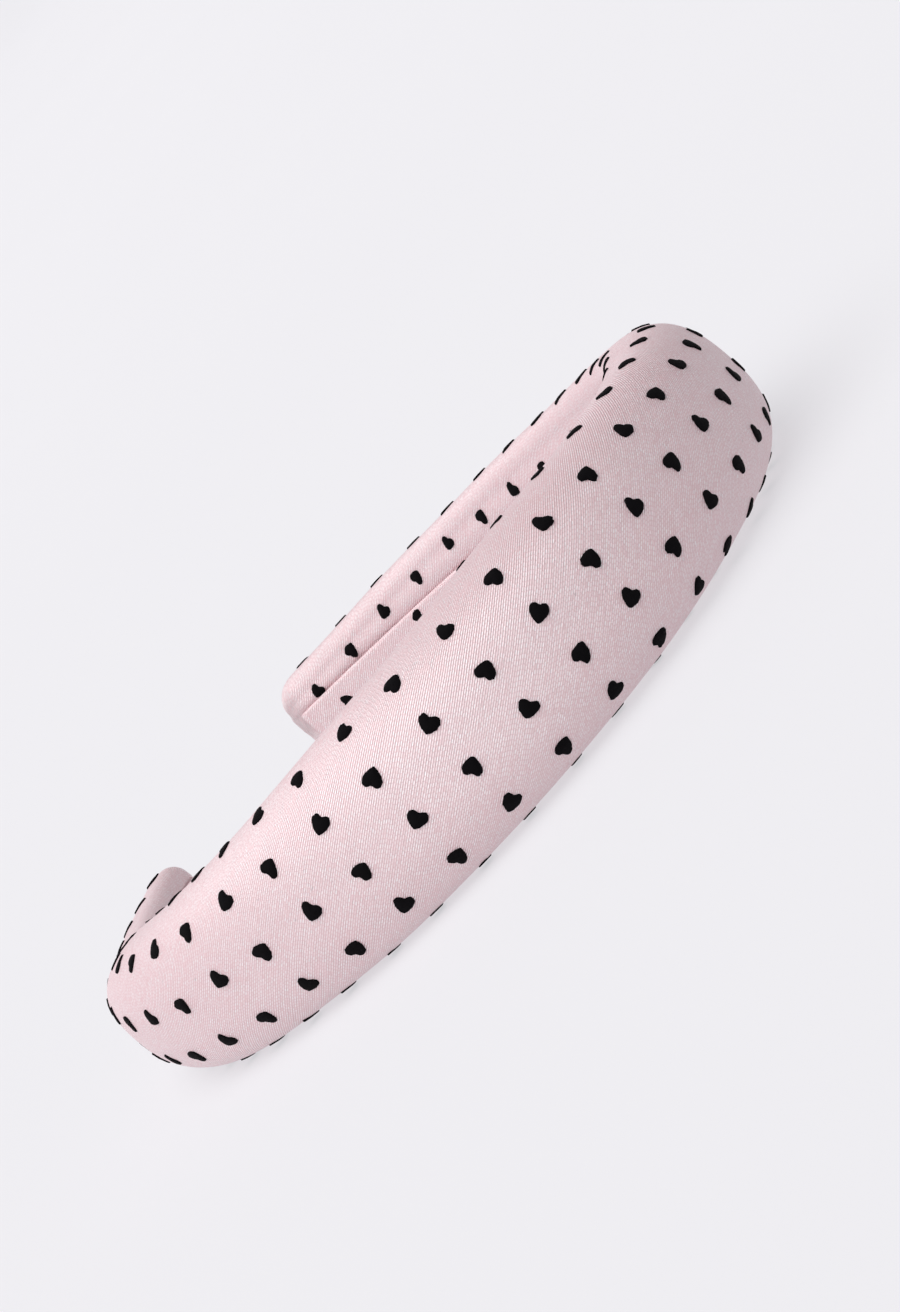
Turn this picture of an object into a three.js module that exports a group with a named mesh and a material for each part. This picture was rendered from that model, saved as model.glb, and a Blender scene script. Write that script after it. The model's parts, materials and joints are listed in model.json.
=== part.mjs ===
import * as THREE from 'three';

// Heart headband: a padded satin hairband, domed outside and flat inside, with a lining strip.
// Millimetres, +Z up. The band lies on its side: the crown faces -Y and both arms run towards +Y.

// Driving dimensions of the band
const armLength = 196.6; // along the band's widest line, from the middle of the crown to a tip
const crownWidth = 31.2; // across the band in the middle of the crown
const crownRadius = 55.5; // bend of the widest line in the middle of the crown
const padHeight = 12.8; // dome of the pad above its widest line, in the middle of the crown
const backDepth = 2.9; // from the widest line in to the flat inner face
const domeExponent = 2.6; // superellipse of the domed side: 2 is an ellipse, more is squarer
const tipRounding = 5; // length over which a tip closes
const tipCorner = 4.5; // how far each tip narrows at its end, on either side
const tipEdge = 0.3; // thickness left at the very end of a tip, as a share of the thickness before it

// Driving dimensions of the lining strip
const stripWidth = 8;
const stripThickness = 1.2;
const stripBevel = 0.4;
const stripGap = 0.3; // clearance between the strip and the cover
const stripSetback = 2.5; // the strip stops this far short of the very end of a tip

// Fineness of the solids
const flatLength = 8; // the one straight stretch, in the middle of the crown
const armSteps = 34;
const closingSteps = 5;
const domeSteps = 16;
const cornerSteps = 3;
const tracingSteps = 400;

// How the band changes along an arm: `along` is the share of the arm's length from the crown to the
// tip, and `share` is a share of the size named in the table's comment.
const tightness = [ // of the crown's bend, 1 / crownRadius
  { along: 0.0, share: 1.0 },
  { along: 0.2, share: 0.949 },
  { along: 0.4, share: 0.873 },
  { along: 0.6, share: 0.404 },
  { along: 0.8, share: 0.343 },
  { along: 1.0, share: 0.365 },
];
const widths = [ // of crownWidth
  { along: 0.0, share: 1.0 },
  { along: 0.25, share: 0.91 },
  { along: 0.5, share: 0.755 },
  { along: 0.75, share: 0.67 },
  { along: 1.0, share: 0.6 },
];
const heights = [ // of padHeight
  { along: 0.0, share: 1.0 },
  { along: 0.33, share: 0.955 },
  { along: 0.67, share: 0.875 },
  { along: 1.0, share: 0.64 },
];

// Reads a table at any place along the arm: a smooth curve through its rows that never overshoots
// them, level in the middle of the crown because the other arm mirrors this one.
function readTable(table, along) {
  const place = THREE.MathUtils.clamp(along, 0, 1);
  const steps = table.slice(1).map((row, i) => row.along - table[i].along);
  const slopes = steps.map((step, i) => (table[i + 1].share - table[i].share) / step);
  const turns = table.map((row, i) => {
    if (i === 0) return 0;
    if (i === table.length - 1) return slopes[i - 1];
    return slopes[i - 1] * slopes[i] > 0 ? 2 / (1 / slopes[i - 1] + 1 / slopes[i]) : 0;
  });
  const last = table.length - 2;
  const i = Math.min(last, Math.max(0, table.findIndex((row) => row.along > place) - 1));
  const row = place >= 1 ? last : i;
  const t = (place - table[row].along) / steps[row];
  const start = table[row].share;
  const end = table[row + 1].share;
  return start * (2 * t ** 3 - 3 * t ** 2 + 1) + end * (3 * t ** 2 - 2 * t ** 3)
    + steps[row] * (turns[row] * (t ** 3 - 2 * t ** 2 + t) + turns[row + 1] * (t ** 3 - t ** 2));
}

// Traces the widest line from the crown along one arm: the direction turns by the bend at each step.
// Gives a function from arc length to the place and direction there.
function traceArm() {
  const step = armLength / tracingSteps;
  const trace = [{ x: 0, y: 0, angle: 0 }];
  for (let i = 1; i <= tracingSteps; i += 1) {
    const before = trace[i - 1];
    const turn = step * readTable(tightness, (i - 0.5) / tracingSteps) / crownRadius;
    const middle = before.angle + turn / 2;
    trace.push({
      x: before.x + step * Math.cos(middle),
      y: before.y + step * Math.sin(middle),
      angle: before.angle + turn,
    });
  }
  return (length) => {
    const place = Math.min(tracingSteps - 1, Math.floor(length / step));
    const t = length / step - place;
    const [from, to] = [trace[place], trace[place + 1]];
    return {
      x: THREE.MathUtils.lerp(from.x, to.x, t),
      y: THREE.MathUtils.lerp(from.y, to.y, t),
      angle: THREE.MathUtils.lerp(from.angle, to.angle, t),
    };
  };
}

// The band's section, as [out, up] pairs: `out` from the line of the widest points, `up` across the
// band. It runs over the dome from the upper edge to the lower one and back along the flat side.
function coverSection(halfWidth, height, depth) {
  const points = [];
  for (let i = 0; i <= domeSteps; i += 1) {
    const turn = Math.PI * (0.5 - i / domeSteps);
    const reach = Math.max(0, Math.cos(turn)) ** (2 / domeExponent);
    const rise = Math.sign(turn) * Math.abs(Math.sin(turn)) ** (2 / domeExponent);
    points.push([height * reach, halfWidth * rise]);
  }
  for (let i = 1; i <= cornerSteps; i += 1) {
    const turn = (Math.PI / 2) * (i / cornerSteps);
    points.push([-depth * Math.sin(turn), -halfWidth + depth * (1 - Math.cos(turn))]);
  }
  for (let i = cornerSteps; i >= 1; i -= 1) {
    const turn = (Math.PI / 2) * (i / cornerSteps);
    points.push([-depth * Math.sin(turn), halfWidth - depth * (1 - Math.cos(turn))]);
  }
  return points;
}

// The strip's section: a flat bar with its outer edges bevelled, lying on the cover's flat side.
function stripSection() {
  const outer = -backDepth - stripGap;
  const inner = outer - stripThickness;
  const half = stripWidth / 2;
  return [
    [outer, half],
    [outer, -half],
    [inner + stripBevel, -half],
    [inner, -half + stripBevel],
    [inner, half - stripBevel],
    [inner + stripBevel, half],
  ];
}

// Places a section at an arc length: outwards is to the outside of the bend.
function placeSection(section, place) {
  const out = [Math.sin(place.angle), -Math.cos(place.angle)];
  return section.map(([reach, rise]) => new THREE.Vector3(
    place.x + reach * out[0],
    place.y + reach * out[1],
    rise,
  ));
}

// Mirrors one arm's rings to the other arm and joins them through the crown's straight stretch.
function bothArms(rings) {
  const mirrored = rings.map((ring) => ring.map((point) => new THREE.Vector3(-point.x, point.y, point.z)));
  return [...mirrored.reverse(), ...rings];
}

// Skins a row of rings and closes both ends with fans. Every ring runs the same way round.
function skin(rings) {
  const count = rings[0].length;
  const positions = rings.flat().flatMap((point) => point.toArray());
  const triangles = [];
  for (let i = 0; i + 1 < rings.length; i += 1) {
    for (let j = 0; j < count; j += 1) {
      const here = i * count + j;
      const beside = i * count + ((j + 1) % count);
      triangles.push(here, beside, beside + count, here, beside + count, here + count);
    }
  }
  const lastRing = (rings.length - 1) * count;
  for (let j = 1; j + 1 < count; j += 1) {
    triangles.push(0, j + 1, j);
    triangles.push(lastRing, lastRing + j, lastRing + j + 1);
  }
  const geometry = new THREE.BufferGeometry();
  geometry.setAttribute('position', new THREE.Float32BufferAttribute(positions, 3));
  geometry.setIndex(triangles);
  geometry.computeVertexNormals();
  return geometry;
}

const placeOnArm = traceArm();
const closingStart = armLength - tipRounding;

// Arc lengths of the rings from the crown's straight stretch to `end`.
function armStations(end) {
  const start = flatLength / 2;
  return Array.from({ length: armSteps + 1 }, (_, i) => THREE.MathUtils.lerp(start, end, i / armSteps));
}

// Padded cover: the tips close along a quarter ellipse, in width and in thickness.
function coverRings() {
  const sectionAt = (length, closed) => {
    const along = length / armLength;
    const halfWidth = crownWidth / 2 * readTable(widths, along) - tipCorner * (1 - closed);
    const thick = THREE.MathUtils.lerp(tipEdge, 1, closed);
    const section = coverSection(halfWidth, padHeight * readTable(heights, along) * thick, backDepth * thick);
    return placeSection(section, placeOnArm(length));
  };
  const rings = armStations(closingStart).map((length) => sectionAt(length, 1));
  for (let i = 1; i <= closingSteps; i += 1) {
    const turn = (Math.PI / 2) * (i / closingSteps);
    rings.push(sectionAt(closingStart + tipRounding * Math.sin(turn), Math.cos(turn)));
  }
  return bothArms(rings);
}

// Lining strip: one width from tip to tip, on the cover's flat side.
function stripRings() {
  const section = stripSection();
  const stations = armStations(armLength - stripSetback);
  return bothArms(stations.map((length) => placeSection(section, placeOnArm(length))));
}

// The angle at which the band rests on its side: the lower hull of all points seen along X, read
// where it passes under the balance point, is the line that touches the surface.
function restingLean(points, balance) {
  const sorted = points.map((point) => [point.y, point.z]).sort((a, b) => a[0] - b[0] || a[1] - b[1]);
  const hull = [];
  sorted.forEach((point) => {
    while (hull.length > 1) {
      const [a, b] = hull.slice(-2);
      if ((b[0] - a[0]) * (point[1] - a[1]) - (b[1] - a[1]) * (point[0] - a[0]) > 0) break;
      hull.pop();
    }
    hull.push(point);
  });
  const next = hull.findIndex((point) => point[0] > balance);
  const [from, to] = [hull[next - 1], hull[next]];
  return Math.atan2(to[1] - from[1], to[0] - from[0]);
}

const satin = new THREE.MeshStandardMaterial({ color: 0xe4ccd1, roughness: 0.45, metalness: 0 });
const stripSatin = new THREE.MeshStandardMaterial({ color: 0xddc2c8, roughness: 0.5, metalness: 0 });

const coverPoints = coverRings();
const cover = new THREE.Mesh(skin(coverPoints), satin);
cover.name = 'padded_cover';

const strip = new THREE.Mesh(skin(stripRings()), stripSatin);
strip.name = 'lining_strip';

// Leans the band onto its rest, then stands it on Z = 0 with its box centred on the origin.
const allPoints = coverPoints.flat();
const balance = allPoints.reduce((sum, point) => sum + point.y, 0) / allPoints.length;
const leaned = new THREE.Group();
leaned.rotation.x = -restingLean(allPoints, balance);
leaned.add(cover, strip);
leaned.updateMatrixWorld(true);

const reach = new THREE.Box3().setFromObject(leaned, true);
const headband = new THREE.Group();
headband.position.set(
  -(reach.min.x + reach.max.x) / 2,
  -(reach.min.y + reach.max.y) / 2,
  -reach.min.z,
);
headband.add(leaned);

export default headband;
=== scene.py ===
import json
import math

import bpy
import numpy as np
from mathutils import Matrix

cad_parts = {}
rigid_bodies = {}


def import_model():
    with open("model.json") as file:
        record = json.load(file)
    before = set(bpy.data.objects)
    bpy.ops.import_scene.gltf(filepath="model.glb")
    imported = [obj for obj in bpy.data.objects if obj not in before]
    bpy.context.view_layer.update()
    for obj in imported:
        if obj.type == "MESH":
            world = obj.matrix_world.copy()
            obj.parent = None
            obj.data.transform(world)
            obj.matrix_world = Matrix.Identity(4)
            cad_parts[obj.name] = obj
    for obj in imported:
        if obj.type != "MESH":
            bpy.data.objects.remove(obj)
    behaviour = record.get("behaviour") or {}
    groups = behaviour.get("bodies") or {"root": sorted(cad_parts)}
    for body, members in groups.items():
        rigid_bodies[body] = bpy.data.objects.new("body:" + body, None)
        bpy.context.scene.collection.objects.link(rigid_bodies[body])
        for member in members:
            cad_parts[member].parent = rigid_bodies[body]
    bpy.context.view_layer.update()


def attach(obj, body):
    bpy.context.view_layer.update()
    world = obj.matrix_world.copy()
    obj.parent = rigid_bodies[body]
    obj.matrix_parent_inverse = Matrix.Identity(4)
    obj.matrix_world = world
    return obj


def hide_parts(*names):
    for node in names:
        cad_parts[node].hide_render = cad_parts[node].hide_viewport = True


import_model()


# Camera: a long lens beside the crown, a little above the table, rolled on its side by nearly
# fifty degrees, so that the band runs up the upright frame from lower left to upper right.
camera_place = (-0.34520, -0.81709, 0.15534)
camera_azimuth = math.radians(-23.606)
camera_elevation = math.radians(9.110)
camera_roll = math.radians(-48.589)
camera_lens = 153.11

camera_back = np.array([
    math.sin(camera_azimuth) * math.cos(camera_elevation),
    -math.cos(camera_azimuth) * math.cos(camera_elevation),
    math.sin(camera_elevation),
])
level_right = np.array([math.cos(camera_azimuth), math.sin(camera_azimuth), 0.0])
level_up = np.cross(camera_back, level_right)
camera_right = math.cos(camera_roll) * level_right + math.sin(camera_roll) * level_up
camera_up = np.cross(camera_back, camera_right)

camera_data = bpy.data.cameras.new("camera")
camera_data.lens = camera_lens
camera_data.clip_start = 0.05
camera_data.clip_end = 60.0
camera = bpy.data.objects.new("camera", camera_data)
bpy.context.scene.collection.objects.link(camera)
turned = np.eye(4)
turned[:3, 0] = camera_right
turned[:3, 1] = camera_up
turned[:3, 2] = camera_back
turned[:3, 3] = camera_place
camera.matrix_world = Matrix(turned.tolist())
bpy.context.scene.camera = camera


# Padded cover: rose satin cut on the bias and pulled tight over a foam pad on a springy band. It
# goes round both edges on to the inner face, where it is eased in under the lining strip, and it
# is tucked in at the tips. Sizes in millimetres, in the band's own frame, widest line at z = 0.
arm_length = 196.6
crown_width = 31.2
crown_radius = 55.5
pad_height = 12.8
back_depth = 2.9
dome_exponent = 2.6
tip_rounding = 5.0
tip_corner = 4.5
tip_edge = 0.3
strip_width = 8.0
resting_lean = math.radians(-2.330404)
band_place = np.array([0.0, -72.31779, 15.57740])

# rows of (share of the arm, share of the named size)
tightness = [(0.0, 1.0), (0.2, 0.949), (0.4, 0.873), (0.6, 0.404), (0.8, 0.343), (1.0, 0.365)]
widths = [(0.0, 1.0), (0.25, 0.91), (0.5, 0.755), (0.75, 0.67), (1.0, 0.6)]
heights = [(0.0, 1.0), (0.33, 0.955), (0.67, 0.875), (1.0, 0.64)]

# a hand-filled band is never quite even: (middle, half length) as shares of an arm, the left one
# below zero, then the shares by which the pad is thicker and wider and the bend is tighter
thicker, wider, tighter = 2, 3, 4
unevenness = [
    (-0.30, 0.25, -0.06, 0.05, 0.0),
    (-0.55, 0.25, 0.16, 0.14, 0.0),
    (-0.80, 0.30, -0.02, -0.16, 0.0),
    (0.35, 0.25, 0.02, 0.055, 0.0),
    (-0.30, 0.20, 0.0, 0.0, -0.08),
    (-0.45, 0.20, -0.045, 0.0, 0.18),
    (-0.60, 0.20, -0.05, -0.05, -0.10),
    (-0.77, 0.20, -0.04, 0.0, 0.12),
    (-0.90, 0.20, 0.0, 0.0, -0.15),
]
left_droop = 5.0
droop_start = 0.3
table_give = 0.7
strip_drift = 1.9

cover_rows = 460
shut_rows = 7
cover_columns = 192
dome_share = 0.58
corner_share = 0.10
line_steps = 1600
measure_steps = 1200
tip_crowding = 0.2
end_bulge = 0.9


def along_arm(table, along):
    """Smooth curve through a table's rows: cubic pieces, whose slope at a row is the harmonic
    mean of the slopes on both sides, level at the crown, and the last piece's own at the tip."""
    place, share = np.array(table).T
    steps = np.diff(place)
    slopes = np.diff(share) / steps
    both = slopes[:-1] * slopes[1:] > 0
    safe = np.where(both, slopes[:-1] + slopes[1:], 1.0)
    inner = np.where(both, 2 * slopes[:-1] * slopes[1:] / safe, 0.0)
    turns = np.concatenate([[0.0], inner, [slopes[-1]]])
    along = np.clip(along, 0.0, 1.0)
    row = np.clip(np.searchsorted(place, along, side="right") - 1, 0, len(steps) - 1)
    t = (along - place[row]) / steps[row]
    ends = share[row] * (2 * t**3 - 3 * t**2 + 1) + share[row + 1] * (3 * t**2 - 2 * t**3)
    bend = turns[row] * (t**3 - 2 * t**2 + t) + turns[row + 1] * (t**3 - t**2)
    return ends + steps[row] * bend


def widest_line(length):
    """Place and direction on the band's widest line at a signed length from the crown's middle:
    the direction is the bend summed along the line, and the place is the direction summed."""
    steps = np.linspace(-arm_length, arm_length, 2 * line_steps + 1)
    middles = (steps[:-1] + steps[1:]) / 2 / arm_length
    step = steps[1] - steps[0]
    turn = step * along_arm(tightness, np.abs(middles)) / crown_radius * swelling(middles, tighter)
    angle = np.concatenate([[0.0], np.cumsum(turn)])
    angle = angle - angle[line_steps]
    middle_angle = (angle[:-1] + angle[1:]) / 2
    x = np.concatenate([[0.0], np.cumsum(step * np.cos(middle_angle))])
    y = np.concatenate([[0.0], np.cumsum(step * np.sin(middle_angle))])
    return (
        np.interp(length, steps, x - x[line_steps]),
        np.interp(length, steps, y - y[line_steps]),
        np.interp(length, steps, angle),
    )


def droop(length):
    """The left arm sinks towards the table: the square of the share of the arm past its start."""
    past = np.clip(-length / arm_length - droop_start, 0, None)
    return -left_droop * past**2


def swelling(along, column):
    """Unevenness: one plus each row's smooth hump, three t squared less two t cubed, where t
    falls from one at the row's middle to zero at its half length."""
    total = np.ones_like(along)
    for row in unevenness:
        t = np.clip(1 - np.abs((along - row[0]) / row[1]), 0, 1)
        total = total + row[column] * t**2 * (3 - 2 * t)
    return total


def cover_section(length, shut, around):
    """Section of the cover as (out, up). Around runs from -1 to 1: the inner face's middle, the
    lower edge, the dome's middle, the upper edge and back. The dome is half a superellipse, then
    come a quarter circle and the flat side. Shut, from 0 to 1, draws the last rings in."""
    along = np.abs(length) / arm_length
    past = np.clip((np.abs(length) - arm_length + tip_rounding) / tip_rounding, 0, 1)
    open_share = np.sqrt(np.clip(1 - past**2, 0, 1))
    thick = tip_edge + (1 - tip_edge) * open_share
    width = crown_width / 2 * along_arm(widths, along) * swelling(length / arm_length, wider)
    width = width - tip_corner * (1 - open_share)
    height = pad_height * along_arm(heights, along) * swelling(length / arm_length, thicker) * thick
    depth = back_depth * thick
    side = np.abs(around)
    dome = np.clip(side / dome_share, 0, 1) * math.pi / 2
    corner = np.clip((side - dome_share) / corner_share, 0, 1) * math.pi / 2
    flat = np.clip((side - dome_share - corner_share) / (1 - dome_share - corner_share), 0, 1)
    cosine, sine = np.clip(np.cos(dome), 0, 1), np.sin(dome)
    radius = (cosine**dome_exponent + sine**dome_exponent) ** (-1 / dome_exponent)
    out = height * radius * cosine - depth * np.sin(corner)
    up = width * radius * sine - depth * (1 - np.cos(corner)) - (width - depth) * flat
    middle = (height - depth) / 2
    keep = 1 - shut
    return middle + (out - middle) * keep, np.sign(around) * up * keep


def in_world(x, y, z):
    """Turns band millimetres into metres on the table: leaned on to its rest, then set down. The
    pad gives where it lies: its height is half the sum of the height itself and the root of its
    square plus the give's square, so that nothing goes below the table."""
    turned_y = math.cos(resting_lean) * y - math.sin(resting_lean) * z + band_place[1]
    height = math.sin(resting_lean) * y + math.cos(resting_lean) * z + band_place[2]
    pressed = (height + np.sqrt(height**2 + table_give**2)) / 2
    return np.stack([x + band_place[0], turned_y, pressed], axis=-1) * 0.001


open_lengths = np.linspace(-arm_length, arm_length, cover_rows)
crowding = np.sin(np.clip(open_lengths / arm_length, -1, 1) * math.pi / 2)
open_lengths = (1 - tip_crowding) * open_lengths + tip_crowding * arm_length * crowding
closing_step = np.linspace(0, 1, shut_rows + 1)[1:]
lengths = np.concatenate([
    np.full(shut_rows, -arm_length), open_lengths, np.full(shut_rows, arm_length),
])[:, None]
shut = np.concatenate([closing_step[::-1], np.zeros(cover_rows), closing_step])[:, None]
around = np.linspace(-1, 1, cover_columns + 1)[None, :]

out, up = cover_section(lengths, shut, around)
line_x, line_y, line_angle = widest_line(lengths)
end_push = end_bulge * np.sqrt(np.clip(1 - (1 - shut) ** 2, 0, 1)) * np.sign(lengths)
line_x = line_x + end_push * np.cos(line_angle)
line_y = line_y + end_push * np.sin(line_angle)
band_x = line_x + out * np.sin(line_angle)
band_y = line_y - out * np.cos(line_angle)
smooth_cover = np.stack([band_x, band_y, up + droop(lengths)], axis=-1)

# the cloth's own measure: along the dome's top, and round the section from the dome's middle
fine = np.linspace(0, arm_length, measure_steps + 1)
fine_bend = along_arm(tightness, fine / arm_length) / crown_radius
fine_height = pad_height * along_arm(heights, fine / arm_length)
stretch = 1 + fine_bend * fine_height
cloth_along = np.concatenate([[0], np.cumsum((stretch[1:] + stretch[:-1]) / 2 * np.diff(fine))])
row_along = np.sign(lengths[:, 0]) * np.interp(np.abs(lengths[:, 0]), fine, cloth_along)
piece_length = np.linalg.norm(np.diff(smooth_cover, axis=1), axis=2)
row_round = np.concatenate([np.zeros((len(lengths), 1)), np.cumsum(piece_length, axis=1)], axis=1)
row_round = row_round - row_round[:, cover_columns // 2, None]


def outward(grid):
    """Unit normals of a closed grid of places: the step along the rows crossed with the step
    round the section, which wraps from the last column to the first."""
    along_step = np.gradient(grid, axis=0)
    wrapped = np.concatenate([grid[:, -2:-1], grid, grid[:, 1:2]], axis=1)
    round_step = wrapped[:, 2:] - wrapped[:, :-2]
    normal = np.cross(along_step, round_step)
    size = np.linalg.norm(normal, axis=2, keepdims=True)
    return normal / np.maximum(size, 1e-9)


normals = outward(smooth_cover)
inner_side = np.clip((np.abs(around) - dome_share) / (1 - dome_share), 0, 1)
open_cover = 1 - shut


def strip_wander(length):
    """How far the strip's middle lies off the band's middle, up across the band: sewn by eye, it
    runs true at the tips and in the crown, and drifts by a sine of the length in between."""
    return -strip_drift * np.sin(length / arm_length * math.pi)


# foam under tight cloth: long low swells, less than a hair's breadth high
swell_height = 0.07
swell_length = 9.1
swell_drift = 23.0
ripple_height = 0.05
ripple_length = 5.3
swells = swell_height * np.sin(lengths / swell_length + 0.6)
swells = swells * np.sin(around * 5.0 + lengths / swell_drift)
swells = swells + ripple_height * np.sin(lengths / ripple_length + 2.0 * around + 1.1)

# beside the strip the inner face swells up to the strip's own level and leaves a soft groove
pillow_height = 0.55
groove_width = 0.9
pillow_start = 0.25
pillow_run = 0.3
beside_strip = np.clip(np.abs(up - strip_wander(lengths)) - strip_width / 2, 0, None)
flat_share = np.clip((inner_side - pillow_start) / pillow_run, 0, 1)
pillow = pillow_height * (1 - np.exp(-beside_strip / groove_width))
pillow = pillow * flat_share**2 * (3 - 2 * flat_share)

# small pleats where the cloth is eased in under the strip, and gathers at both tips
pleat_height = 0.03
pleat_spacing = 1.3
pleat_wander = 7.7
pleat_reach = 1.8
tip_fold_height = 0.07
tip_fold_reach = 6.0
pleat_phase = lengths / pleat_spacing + 1.4 * np.sin(lengths / pleat_wander) + np.where(around > 0, 0.0, 1.9)
pleats = pleat_height * np.sin(pleat_phase) * np.exp(-beside_strip / pleat_reach) * flat_share
tip_gather = np.clip((np.abs(lengths) - arm_length) / tip_fold_reach + 1, 0, 1) * open_cover
tip_folds = tip_fold_height * tip_gather * np.sin(around * 23.0 + 0.7 * np.sign(lengths)) * inner_side

# the crown's upper edge is stuffed fuller on the left of the middle and leaner on the right: rows of
# (middle, spread, how much thicker), along the band in millimetres
edge_stuffing = [(-25.0, 42.0, 0.75), (38.0, 24.0, -0.6)]
edge_start = 0.38
edge_run = 0.18
edge_end = 0.86
edge_fade = 0.12
edge_share = np.clip((around - edge_start) / edge_run, 0, 1)
edge_share = edge_share * np.clip((edge_end - around) / edge_fade, 0, 1)
fuller = edge_share**2 * (3 - 2 * edge_share) * sum(
    amount * np.exp(-((lengths - middle) / spread) ** 2) for middle, spread, amount in edge_stuffing)

raised = (swells + pleats + pillow + tip_folds + fuller) * open_cover
cover_grid = smooth_cover + normals * raised[..., None]
cover_normals = outward(cover_grid)


def closed_grid_mesh(name, grid, first, second):
    """Mesh of a grid that wraps round its columns, with a cloth measure, first and second, in
    millimetres as its UV map. The first and last rows are closed with a face."""
    rows, columns = grid.shape[0], grid.shape[1] - 1
    corners = np.arange(rows * columns).reshape(rows, columns)
    beside = np.roll(corners, -1, axis=1)
    faces = np.stack([corners[:-1], beside[:-1], beside[1:], corners[1:]], axis=-1).reshape(-1, 4)
    wide = np.arange(rows * (columns + 1)).reshape(rows, columns + 1)
    taken = np.stack([wide[:-1, :-1], wide[:-1, 1:], wide[1:, 1:], wide[1:, :-1]], axis=-1)
    mesh = bpy.data.meshes.new(name)
    mesh.vertices.add(rows * columns)
    places = in_world(*np.moveaxis(grid[:, :-1], -1, 0)).reshape(-1, 3)
    mesh.vertices.foreach_set("co", places.astype(np.float32).ravel())
    caps = np.concatenate([corners[0, ::-1], corners[-1]])
    cap_taken = np.concatenate([wide[0, :-1][::-1], wide[-1, :-1]])
    loops = np.concatenate([faces.ravel(), caps])
    mesh.loops.add(len(loops))
    mesh.loops.foreach_set("vertex_index", loops.astype(np.int32))
    starts = np.concatenate([np.arange(len(faces)) * 4, len(faces) * 4 + np.array([0, columns])])
    mesh.polygons.add(len(starts))
    mesh.polygons.foreach_set("loop_start", starts.astype(np.int32))
    mesh.polygons.foreach_set("use_smooth", np.ones(len(starts), bool))
    cloth = np.stack([first.ravel(), second.ravel()], axis=-1)
    cloth_loops = cloth[np.concatenate([taken.ravel(), cap_taken])]
    mesh.update(calc_edges=True)
    layer = mesh.uv_layers.new(name="cloth")
    layer.data.foreach_set("uv", cloth_loops.astype(np.float32).ravel())
    mesh.validate()
    return mesh


# the print's repeat on the cloth, in millimetres: where one heart lies, the step to its
# neighbour along the band and the step to its neighbour across it
first_heart = np.array([13.233, 2.526])
step_along = np.array([11.740, -0.878])
step_across = np.array([-0.491, -8.509])
warp = step_across - step_along
weft = step_across + step_along
warp_length = np.linalg.norm(warp)
weft_length = np.linalg.norm(weft)


def grain(along, round_it):
    """Cloth measure turned to the threads: millimetres across the warp and along it, from the
    share of each of the print's two diagonals in the place."""
    x = along - first_heart[0]
    y = round_it - first_heart[1]
    area = weft[0] * warp[1] - weft[1] * warp[0]
    across_warp = (x * warp[1] - y * warp[0]) / area * weft_length
    along_warp = (y * weft[0] - x * weft[1]) / area * warp_length
    return across_warp, along_warp


class Socket:
    """A node's output in a material, with Python's arithmetic. Numbers mix freely with it."""

    def __init__(self, nodes, output):
        self.nodes = nodes
        self.output = output

    def math(self, operation, first, second=None):
        values = [first] if second is None else [first, second]
        return self.nodes.make("ShaderNodeMath", {"operation": operation}, values)

    def __add__(self, other):
        return self.math("ADD", self, other)

    def __radd__(self, other):
        return self.math("ADD", other, self)

    def __sub__(self, other):
        return self.math("SUBTRACT", self, other)

    def __rsub__(self, other):
        return self.math("SUBTRACT", other, self)

    def __mul__(self, other):
        return self.math("MULTIPLY", self, other)

    def __rmul__(self, other):
        return self.math("MULTIPLY", other, self)

    def __truediv__(self, other):
        return self.math("DIVIDE", self, other)

    def __pow__(self, other):
        return self.math("POWER", self, other)

    def fract(self):
        return self.math("FRACT", self)

    def floor(self):
        return self.math("FLOOR", self)

    def absolute(self):
        return self.math("ABSOLUTE", self)

    def at_least(self, other):
        return self.math("MAXIMUM", self, other)

    def at_most(self, other):
        return self.math("MINIMUM", self, other)


class Finish:
    """A material under construction. make adds a node: its settings, then its sockets' values or
    links, by number or name, and gives the output asked for."""

    def __init__(self, name):
        self.material = bpy.data.materials.new(name)
        self.material.use_nodes = True
        self.tree = self.material.node_tree
        self.tree.nodes.clear()

    def make(self, kind, settings, values, output=0):
        node = self.tree.nodes.new(kind)
        for key, value in settings.items():
            setattr(node, key, value)
        pairs = values.items() if isinstance(values, dict) else enumerate(values)
        for key, value in pairs:
            self.feed(node.inputs[key], value)
        return Socket(self, node.outputs[output])

    def feed(self, target, value):
        if isinstance(value, Socket):
            self.tree.links.new(value.output, target)
        else:
            target.default_value = value

    def blend(self, share, first, second):
        settings = {"data_type": "RGBA"}
        return self.make("ShaderNodeMix", settings, {0: share, 6: first, 7: second}, 2)

    def noise(self, place, scale, detail=2.0, roughness=0.5):
        values = {"Vector": place, "Scale": scale, "Detail": detail, "Roughness": roughness}
        return self.make("ShaderNodeTexNoise", {}, values, 0)

    def place(self, x, y, z=0.0):
        return self.make("ShaderNodeCombineXYZ", {}, [x, y, z])

    def split(self, vector):
        node = self.tree.nodes.new("ShaderNodeSeparateXYZ")
        self.feed(node.inputs[0], vector)
        return [Socket(self, one) for one in node.outputs]

    def uv(self, name):
        return self.make("ShaderNodeUVMap", {"uv_map": name}, [])

    def objects(self):
        return self.make("ShaderNodeTexCoord", {}, [], "Object")

    def bump(self, height, distance, strength=1.0):
        values = {"Height": height, "Distance": distance, "Strength": strength}
        return self.make("ShaderNodeBump", {}, values)

    def surface(self, values):
        shader = self.make("ShaderNodeBsdfPrincipled", {}, values)
        end = self.tree.nodes.new("ShaderNodeOutputMaterial")
        self.feed(end.inputs["Surface"], shader)
        return self.material


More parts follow.
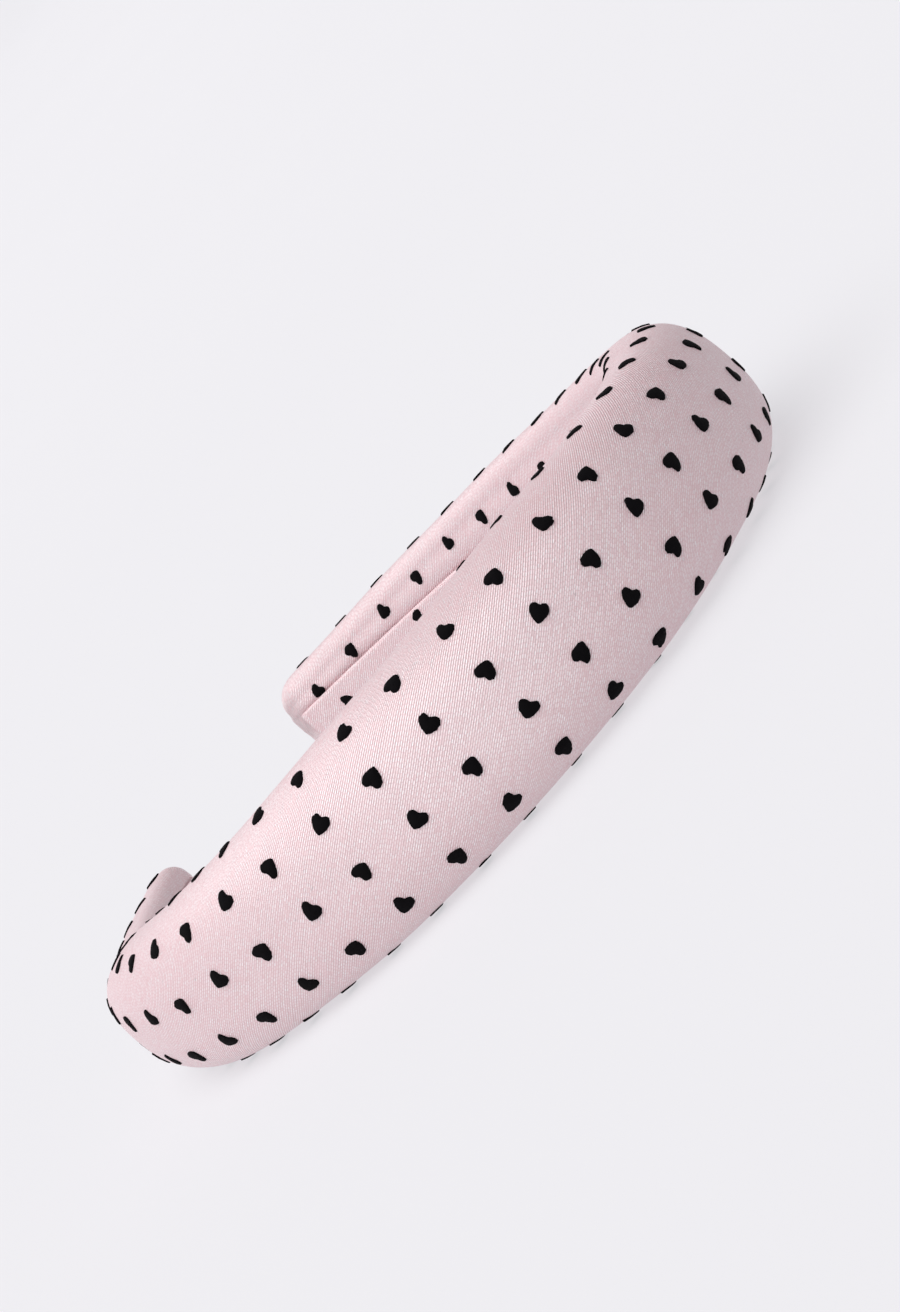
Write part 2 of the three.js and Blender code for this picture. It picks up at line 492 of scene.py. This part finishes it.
# satin: floats of the warp side by side, each thread's starting some two fifths of a float
# further on than its neighbour's, so that faint twill lines cross the ribs; a few grey flecks
thread_pitch = 0.37
float_length = 0.8
float_stagger = 0.4
rose = (0.785, 0.555, 0.585, 1.0)
# deep rose: painted shade in the gaps between the threads, and also the darker random patches
deep_rose_and_gap_shade = (0.655, 0.34, 0.37, 1.0)
# pale rose: a painted highlight, a glint laid on the crown of each float
painted_glint_rose = (0.92, 0.84, 0.865, 1.0)
fleck_grey = (0.23, 0.19, 0.21, 1.0)
thread_relief = 0.00009


def satin(name, base, dark_and_gap_shade, painted_glint):
    """Satin finish on a piece whose UV map gives millimetres across and along the warp."""
    finish = Finish(name)
    across, along, _ = finish.split(finish.uv("cloth"))
    wander = finish.noise(finish.place(across * 0.35, along * 0.12), 1.0, 2.0)
    across = across + 0.22 * wander
    thread = across / thread_pitch
    number = thread.floor()
    ridge = 1 - ((thread.fract() - 0.5) * 2).absolute() ** 2.0
    stagger = finish.noise(finish.place(number * 5.3, 0.5), 1.0, 0.0)
    start = (along + 0.18 * wander) / float_length + number * float_stagger + 1.3 * stagger
    step = start.fract()
    rounded = 1 - 0.5 * ((step - 0.5) * 2).absolute() ** 4.0
    pile = finish.place(number * 0.37, start.floor() * 0.61)
    uneven = finish.noise(pile, 3.7, 0.0)
    weave = ridge * rounded * (0.45 + 1.1 * uneven)
    broad = finish.noise(finish.place(across * 0.05, along * 0.03), 1.0, 3.0)
    streak = finish.noise(finish.place(across * 2.2, along * 0.09), 1.0, 2.0)
    pulled = finish.noise(finish.place(across * 0.9, along * 0.35), 1.0, 4.0)
    fleck = (pulled - 0.70).at_least(0.0) * 7.0
    tone = (0.75 * weave + 0.35 * broad + 0.25 * streak - 0.05).at_least(0.0).at_most(1.0)
    # painted shade: the gaps between the threads go to the deep rose; the broad and streaky patches vary the
    # tone at random
    color = finish.blend(tone, dark_and_gap_shade, base)
    # painted highlight: the crowns of the floats turn pale rose, as glints of light on the threads
    color = finish.blend((weave - 0.6).at_least(0.0) * 1.4, color, painted_glint)
    color = finish.blend(fleck.at_most(0.5), color, fleck_grey)
    height = weave + 0.5 * streak
    return finish.surface({
        "Base Color": color,
        "Roughness": 0.46 - 0.12 * weave + 0.10 * streak,
        "Metallic": 0.0,
        "IOR": 2.15,
        "Specular IOR Level": 1.0,
        "Sheen Weight": 0.06,
        "Sheen Roughness": 0.4,
        "Sheen Tint": (1.0, 0.93, 0.95, 1.0),
        "Normal": finish.bump(height, thread_relief),
    })


cover_mesh = closed_grid_mesh("padded_cover_cloth", cover_grid, *grain(
    row_along[:, None] + 0 * row_round, row_round))
cover = bpy.data.objects.new("padded_cover_cloth", cover_mesh)
bpy.context.scene.collection.objects.link(cover)
cover_mesh.materials.append(satin("rose_satin", rose, deep_rose_and_gap_shade, painted_glint_rose))
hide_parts("padded_cover")
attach(cover, "root")


# Lining strip: the same satin, cut 14 mm wide, with both long edges turned under to leave 8 mm,
# laid along the inner face over the cover's raw edges and caught down close to its folds.
strip_setback = 2.5
strip_cut = 14.0
strip_rise = 1.0
strip_cloth = 0.25
strip_fold = 0.5
strip_crown = 0.12
strip_ripple = 0.025
strip_end_reach = 3.0
strip_end_sink = 0.45
strip_end_taper = 0.04
strip_grain = (0.72, 0.69)
strip_rows = 420
strip_columns = 34

strip_end = arm_length - strip_setback
strip_lengths = np.linspace(-strip_end, strip_end, strip_rows)[:, None]
face_half = strip_width / 2 - strip_fold
hem = (strip_cut - 2 * face_half - 2 * math.pi * strip_fold) / 2
strip_half = face_half + math.pi * strip_fold + hem
strip_across = np.linspace(-strip_half, strip_half, strip_columns + 1)[None, :]


def strip_section(across, inset):
    """C-shaped path of the folded strip as (out, up): straight over the face, half a circle round
    each fold, and back under as the hem. Inset moves it in by the cloth's thickness."""
    side = np.sign(across)
    away = np.abs(across)
    bend = np.clip((away - face_half) / strip_fold, 0, math.pi)
    under = np.clip(away - face_half - math.pi * strip_fold, 0, None)
    radius = strip_fold - inset
    up = np.minimum(away, face_half) + radius * np.sin(bend) - under
    out = radius * np.cos(bend)
    return out, side * up


def strip_sheet(inset):
    """Places on one face of the strip's cloth: the folded path carried along the band's inner
    side, pressed down towards both ends and rippled a little where it is caught down."""
    out, up = strip_section(strip_across, inset)
    side = up / face_half
    face = strip_crown * (1 - np.clip(np.abs(side), 0, 1) ** 2) * (out > 0)
    ripple = strip_ripple * np.sin(strip_lengths / 1.4 + 1.7 * np.sign(strip_across)) * np.abs(side) ** 3
    end = np.clip((np.abs(strip_lengths) - strip_end) / strip_end_reach + 1, 0, 1)
    level = back_depth + strip_rise - strip_fold - strip_end_sink * end**2 + (out + face + ripple)
    x, y, angle = widest_line(strip_lengths)
    past = np.clip((np.abs(strip_lengths) - arm_length + tip_rounding) / tip_rounding, 0, 1)
    level = level - back_depth * (1 - tip_edge) * (1 - np.sqrt(1 - past**2))
    z = up * (1 - strip_end_taper * end) + strip_wander(strip_lengths) + droop(strip_lengths)
    return np.stack([x - level * np.sin(angle), y + level * np.cos(angle), z + 0 * x], axis=-1)


strip_face = strip_sheet(0.0)
strip_back = strip_sheet(strip_cloth)
strip_grid = np.concatenate([strip_face, strip_back[:, ::-1], strip_face[:, :1]], axis=1)
strip_round = np.concatenate([
    strip_across[0], strip_across[0, ::-1], strip_across[0, :1] - strip_cloth,
])[None, :]
strip_mesh = closed_grid_mesh(
    "lining_strip_cloth", strip_grid,
    strip_round * strip_grain[0] + strip_lengths * strip_grain[1],
    strip_lengths * strip_grain[0] - strip_round * strip_grain[1],
)
strip = bpy.data.objects.new("lining_strip_cloth", strip_mesh)
bpy.context.scene.collection.objects.link(strip)
strip_mesh.materials.append(satin("rose_lining_satin", rose, deep_rose_and_gap_shade, painted_glint_rose))
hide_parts("lining_strip")
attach(strip, "root")


# Hearts: short black flock glued on the satin in a stepped repeat, every other heart upside down.
# Each is a low pad with a fuzzy, slightly uneven edge, and lies where the cloth carries it.
heart_width = 3.15
heart_height = 3.0
inner_heart_size = 0.82
flock_height = 0.3
heart_corners = 30
sunk_edge = 0.06
edge_roughness = 0.026
heart_turn = 0.06
heart_skew = 0.04
heart_scatter = 0.12
pad_rings = (1.04, 0.93, 0.0)
shoulder = 0.85


def heart_outline(corners):
    """Closed heart, one unit wide and high, point towards minus y: x is a sine less a little of
    the sine of three times the angle, y a sum of cosines; notch and point come out blunt."""
    t = np.arange(corners) * 2 * math.pi / corners
    x = 12 * np.sin(t) - 1.5 * np.sin(3 * t)
    y = 12 * np.cos(t) - 2.9 * np.cos(2 * t) - 1.2 * np.cos(3 * t) - 0.3 * np.cos(4 * t)
    return (x - (x.max() + x.min()) / 2) / np.ptp(x), (y - (y.max() + y.min()) / 2) / np.ptp(y)


def on_grid(row_place, column_place, grid):
    """Bilinear reading of a grid of vectors at fractional rows and columns."""
    row = np.clip(np.floor(row_place).astype(int), 0, grid.shape[0] - 2)
    column = np.clip(np.floor(column_place).astype(int), 0, grid.shape[1] - 2)
    a = (row_place - row)[..., None]
    b = (column_place - column)[..., None]
    near = grid[row, column] * (1 - b) + grid[row, column + 1] * b
    far = grid[row + 1, column] * (1 - b) + grid[row + 1, column + 1] * b
    return near * (1 - a) + far * a


def heart_places(centres, facing, size, down, rng):
    """Cloth measure of every heart's rings: outline turned to point down the warp, each a little
    larger, turned and ragged by chance. Gives an array of hearts, rings, corners, two measures."""
    x, y = heart_outline(heart_corners)
    count = len(centres)
    ragged = 1 + rng.normal(0, edge_roughness, (count, heart_corners))
    turn = rng.normal(0, heart_turn, (count, 1))
    skew = rng.normal(0, heart_skew, (count, 1))
    y = y[None, :] * ragged * rng.uniform(0.93, 1.07, (count, 1)) * heart_height * size
    x = x[None, :] * ragged * rng.uniform(0.95, 1.05, (count, 1)) * heart_width * size + skew * y
    x, y = x * np.cos(turn) - y * np.sin(turn), x * np.sin(turn) + y * np.cos(turn)
    rings = np.array(pad_rings)[None, :, None]
    right = np.array([-down[1], down[0]])
    sign = facing[:, None, None]
    x, y = x[:, None] * rings * sign, y[:, None] * rings * sign
    flat = x[..., None] * right + y[..., None] * down
    return centres[:, None, None] + flat


# how far cloth on the bias gives as it is pulled round the bend, for the square, the product and
# the square of the repeat's counts, in tens along the band and in threes across it
give_along = (1.253, 1.716, 1.055)
give_round = (0.744, 2.663, 0.771)


def bias_drift(i, j):
    """Drift of the heart i along and j across: the sums of those squares and products. The cloth
    is drawn together on the right arm's inner face, and harder over the crown's upper edge."""
    tens, threes = i / 10, j / 3
    terms = [tens**2, tens * threes, threes**2]
    along = sum(give * term for give, term in zip(give_along, terms))
    round_it = sum(give * term for give, term in zip(give_round, terms))
    inner = (j < -3) & (i > 9)
    along = along - 0.6 * (i - 14) * inner
    round_it = round_it + 0.17 * np.clip(i - 13, 0, None) ** 2 * inner
    round_it = round_it + 3.0 * np.clip(-j - 1, 0, 1) * np.clip((2 - i) / 3, 0, 1)
    return np.stack([along, round_it], axis=-1)


repeats = 24
tip_margin = 1.5
under_strip = 1.2
span = np.arange(-repeats, repeats + 1)
across_i, across_j = np.meshgrid(span, span, indexing="ij")
sites = first_heart + across_i[..., None] * step_along + across_j[..., None] * step_across
sites = sites + bias_drift(across_i, across_j)
open_rows = np.arange(shut_rows, shut_rows + cover_rows)
site_row = np.interp(sites[..., 0], row_along[open_rows], open_rows)
site_half = np.interp(site_row, np.arange(len(lengths)), row_round[:, -1])
on_cover = np.abs(sites[..., 1]) < site_half - strip_width / 2 + under_strip
kept = on_cover & (np.abs(sites[..., 0]) < row_along[-1] - tip_margin)
centres = sites[kept]
facing = np.where((across_i + across_j)[kept] % 2 == 0, 1.0, -1.0)
rng = np.random.default_rng(14)
centres = centres + rng.normal(0, heart_scatter, centres.shape)
heart_size = np.where(np.abs(across_j[kept]) > 3, inner_heart_size, 1.0)[:, None]
heart_cloth = heart_places(centres, facing, heart_size, -warp / warp_length, rng)

# from cloth measure to grid rows and columns: the columns of the two rows beside a corner
corner_row = np.interp(heart_cloth[..., 0], row_along[open_rows], open_rows)
lower_row = np.clip(np.floor(corner_row).astype(int), open_rows[0], open_rows[-1] - 1)


def column_at(rows, measure):
    """Fractional column where the cloth measure round the section is reached in each row: the
    rows' measures are laid end to end, each shifted clear of the last, and read in one go."""
    gap = 400.0
    ladder = (row_round + gap * np.arange(len(row_round))[:, None]).ravel()
    numbers = np.tile(np.arange(row_round.shape[1], dtype=float), len(row_round))
    limit = row_round[rows, -1]
    return np.interp(np.clip(measure, -limit, limit) + gap * rows, ladder, numbers)


share = corner_row - lower_row
column = column_at(lower_row, heart_cloth[..., 1]) * (1 - share)
column = column + column_at(lower_row + 1, heart_cloth[..., 1]) * share
heart_base = on_grid(corner_row, column, cover_grid)
heart_lift = on_grid(corner_row, column, cover_normals)
lift = np.array([-sunk_edge, flock_height * shoulder, flock_height])[None, :, None, None]
heart_points = heart_base + heart_lift * lift

# the strip's own hearts: its cloth isn't stretched, so the print is a square lattice there,
# turned as the strip was cut
strip_cell = 10.4
strip_turn = math.radians(-32.7)
strip_heart = np.array([184.8, 0.0])
strip_heart_size = 0.82
strip_repeats = 60
strip_margin = (2.5, 1.0)
reach = np.arange(-strip_repeats, strip_repeats + 1)
cell_i, cell_j = np.meshgrid(reach, reach, indexing="ij")
cell_step = strip_cell * np.array([math.cos(strip_turn), math.sin(strip_turn)])
cell_side = np.array([-cell_step[1], cell_step[0]])
strip_sites = strip_heart + cell_i[..., None] * cell_step + cell_j[..., None] * cell_side
strip_reach = np.array([strip_end, strip_width / 2]) - strip_margin
on_strip = np.all(np.abs(strip_sites) < strip_reach, axis=-1)
strip_down = (cell_step + cell_side) / np.linalg.norm(cell_step + cell_side)
strip_facing = np.where((cell_i + cell_j)[on_strip] % 2 == 0, 1.0, -1.0)
strip_hearts = heart_places(strip_sites[on_strip], strip_facing, strip_heart_size, strip_down, rng)
strip_row = (strip_hearts[..., 0] + strip_end) / (2 * strip_end) * (strip_rows - 1)
face_edge = strip_width / 2 - 0.15
strip_column = (np.clip(strip_hearts[..., 1], -face_edge, face_edge) / strip_half + 1) / 2 * strip_columns
strip_out = np.cross(np.gradient(strip_face, axis=1), np.gradient(strip_face, axis=0))
strip_out = strip_out / np.linalg.norm(strip_out, axis=2, keepdims=True)
strip_points = on_grid(strip_row, strip_column, strip_face)
strip_points = strip_points + on_grid(strip_row, strip_column, strip_out) * lift * 0.7
heart_points = np.concatenate([heart_points, strip_points])


def hearts_mesh(name, points):
    """Joined mesh of all hearts: a wall from the outer ring to the inner one, and a fan of
    triangles from the inner ring to the heart's middle."""
    count, _, corners, _ = points.shape
    each = 2 * corners + 1
    vertices = np.concatenate([points[:, 0], points[:, 1], points[:, 2, :1]], axis=1).reshape(-1, 3)
    k = np.arange(corners)
    after = (k + 1) % corners
    walls = np.stack([k, after, corners + after, corners + k], axis=-1)
    fans = np.stack([corners + k, corners + after, np.full(corners, 2 * corners)], axis=-1)
    base = (np.arange(count) * each)[:, None, None]
    mesh = bpy.data.meshes.new(name)
    places = in_world(*vertices.T)
    faces = (walls + base).reshape(-1, 4).tolist() + (fans + base).reshape(-1, 3).tolist()
    mesh.from_pydata(places.tolist(), [], faces)
    mesh.polygons.foreach_set("use_smooth", np.ones(len(faces), bool))
    mesh.validate()
    return mesh


def flock(name):
    """Matt black fibres: fine grain in the bump, a trace of brown-grey on the fibres' ends."""
    finish = Finish(name)
    place = finish.objects()
    fibres = finish.noise(place, 5200.0, 3.0, 0.7)
    clumps = finish.noise(place, 900.0, 2.0)
    tone = (fibres * 0.7 + clumps * 0.5 - 0.2).at_least(0.0).at_most(1.0)
    color = finish.blend(tone, (0.0012, 0.001, 0.0013, 1.0), (0.006, 0.005, 0.0065, 1.0))
    return finish.surface({
        "Base Color": color,
        "Roughness": 0.85 + 0.1 * clumps,
        "Specular IOR Level": 0.08,
        "Normal": finish.bump(fibres + 0.6 * clumps, 0.0002, 0.9),
    })


hearts_on_cover = hearts_mesh("hearts_on_cover", heart_points)
hearts = bpy.data.objects.new("hearts_on_cover", hearts_on_cover)
bpy.context.scene.collection.objects.link(hearts)
hearts_on_cover.materials.append(flock("black_flock"))
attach(hearts, "root")


# Table and backdrop: one pale sheet of board that lies flat, then curves up behind the band. The board glows
# of itself, though it is no lamp: the glow thins the band's shadow on it and lights the band from below.
floor_half = 6.0
sweep_start = 4.0
sweep_radius = 1.5
sweep_height = 5.0

sweep_turn = np.linspace(0, math.pi / 2, 33)
sweep_y = sweep_start + sweep_radius * np.sin(sweep_turn)
path_y = np.concatenate([[-floor_half], sweep_y, sweep_y[-1:]])
path_z = np.concatenate([[0.0], sweep_radius * (1 - np.cos(sweep_turn)), [sweep_height]])
path_x = np.linspace(-floor_half, floor_half, 5)
floor_x, floor_y = np.meshgrid(path_x, path_y, indexing="ij")
floor_z = np.broadcast_to(path_z, floor_x.shape)
floor_places = np.stack([floor_x, floor_y, floor_z], axis=-1).reshape(-1, 3)
cells = np.arange(floor_x.size).reshape(floor_x.shape)
floor_faces = np.stack([cells[:-1, :-1], cells[1:, :-1], cells[1:, 1:], cells[:-1, 1:]], axis=-1)
floor_mesh = bpy.data.meshes.new("table_board")
floor_mesh.from_pydata(floor_places.tolist(), [], floor_faces.reshape(-1, 4).tolist())
floor_mesh.polygons.foreach_set("use_smooth", np.ones(len(floor_mesh.polygons), bool))
floor = bpy.data.objects.new("table_board", floor_mesh)
bpy.context.scene.collection.objects.link(floor)

board = Finish("glowing_white_board")
mottle = board.noise(board.objects(), 3.0, 3.0)
floor_mesh.materials.append(board.surface({
    "Base Color": board.blend(mottle, (0.245, 0.242, 0.250, 1.0), (0.255, 0.252, 0.26, 1.0)),
    "Roughness": 0.8,
    "Specular IOR Level": 0.1,
    # glowing board: light of its own that washes out the band's shadow and brightens the band's underside
    "Emission Color": (0.99, 0.985, 1.02, 1.0),
    "Emission Strength": 0.568,
}))


# Light: an even white room, and one very broad soft lamp from above and the left, as from a
# window; no hard edge in any highlight.
world = bpy.data.worlds.new("studio")
bpy.context.scene.world = world
world.use_nodes = True
background = world.node_tree.nodes["Background"]
background.inputs["Color"].default_value = (0.97, 0.97, 1.0, 1.0)
background.inputs["Strength"].default_value = 0.36

lamp_data = bpy.data.lights.new("window", "SUN")
lamp_data.energy = 2.85
lamp_data.angle = math.radians(80)
lamp_data.color = (1.0, 0.985, 0.98)
lamp = bpy.data.objects.new("window", lamp_data)
bpy.context.scene.collection.objects.link(lamp)
lamp.rotation_euler = (math.radians(7), math.radians(-30), 0.0)

bpy.context.scene.view_settings.view_transform = "Standard"
bpy.context.scene.view_settings.look = "None"
bpy.context.scene.view_settings.exposure = 0.0
